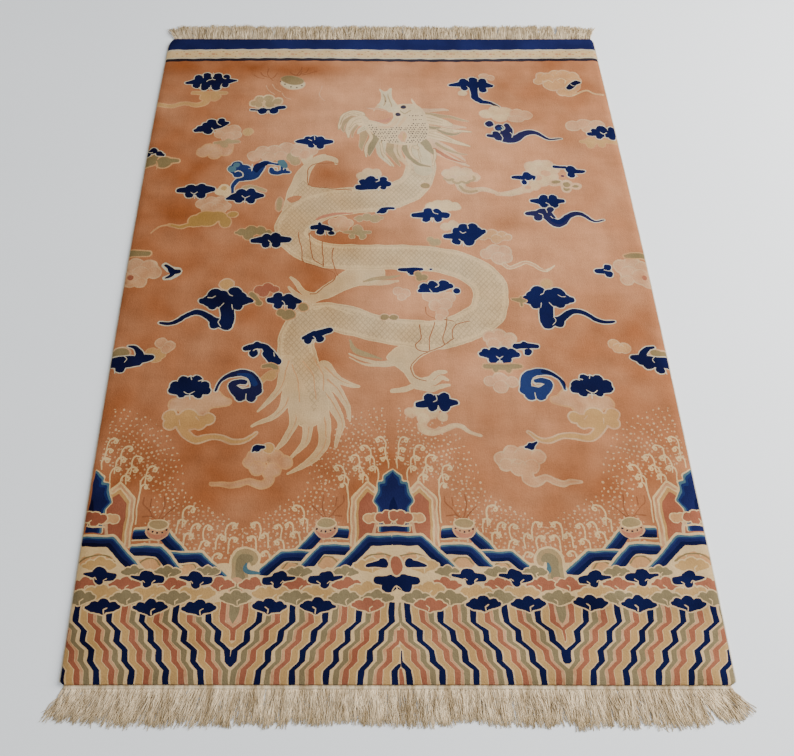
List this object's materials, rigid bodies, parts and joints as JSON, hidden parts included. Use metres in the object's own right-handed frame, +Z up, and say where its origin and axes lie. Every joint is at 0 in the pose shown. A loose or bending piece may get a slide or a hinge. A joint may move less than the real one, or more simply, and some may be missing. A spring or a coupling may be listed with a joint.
{
  "type": "tibetan khaden rug",
  "caption": "Flat hand-knotted wool pile rug with overcast selvedges along its long sides and a woven web with warp fringe at each end.",
  "frame": {"origin": "middle of the rug's footprint, fringes included, on the surface it lies on", "axes": "+Y along the rug from the striped wave end to the plain blue band, +X across it, +Z up out of the pile"},
  "size_m": [1.3526, 2.0392, 0.0114],
  "materials": {
    "wool_pile": "cut wool pile, matt, patterned",
    "selvedge_cotton": "wrapped ivory cotton, matt",
    "fringe_cotton": "plied beige cotton, matt"
  },
  "bodies": {
    "root": {"pile_body": "wool_pile", "selvedge_left": "selvedge_cotton", "selvedge_right": "selvedge_cotton", "fringe_near": "fringe_cotton", "fringe_far": "fringe_cotton"}
  },
  "joints": []
}
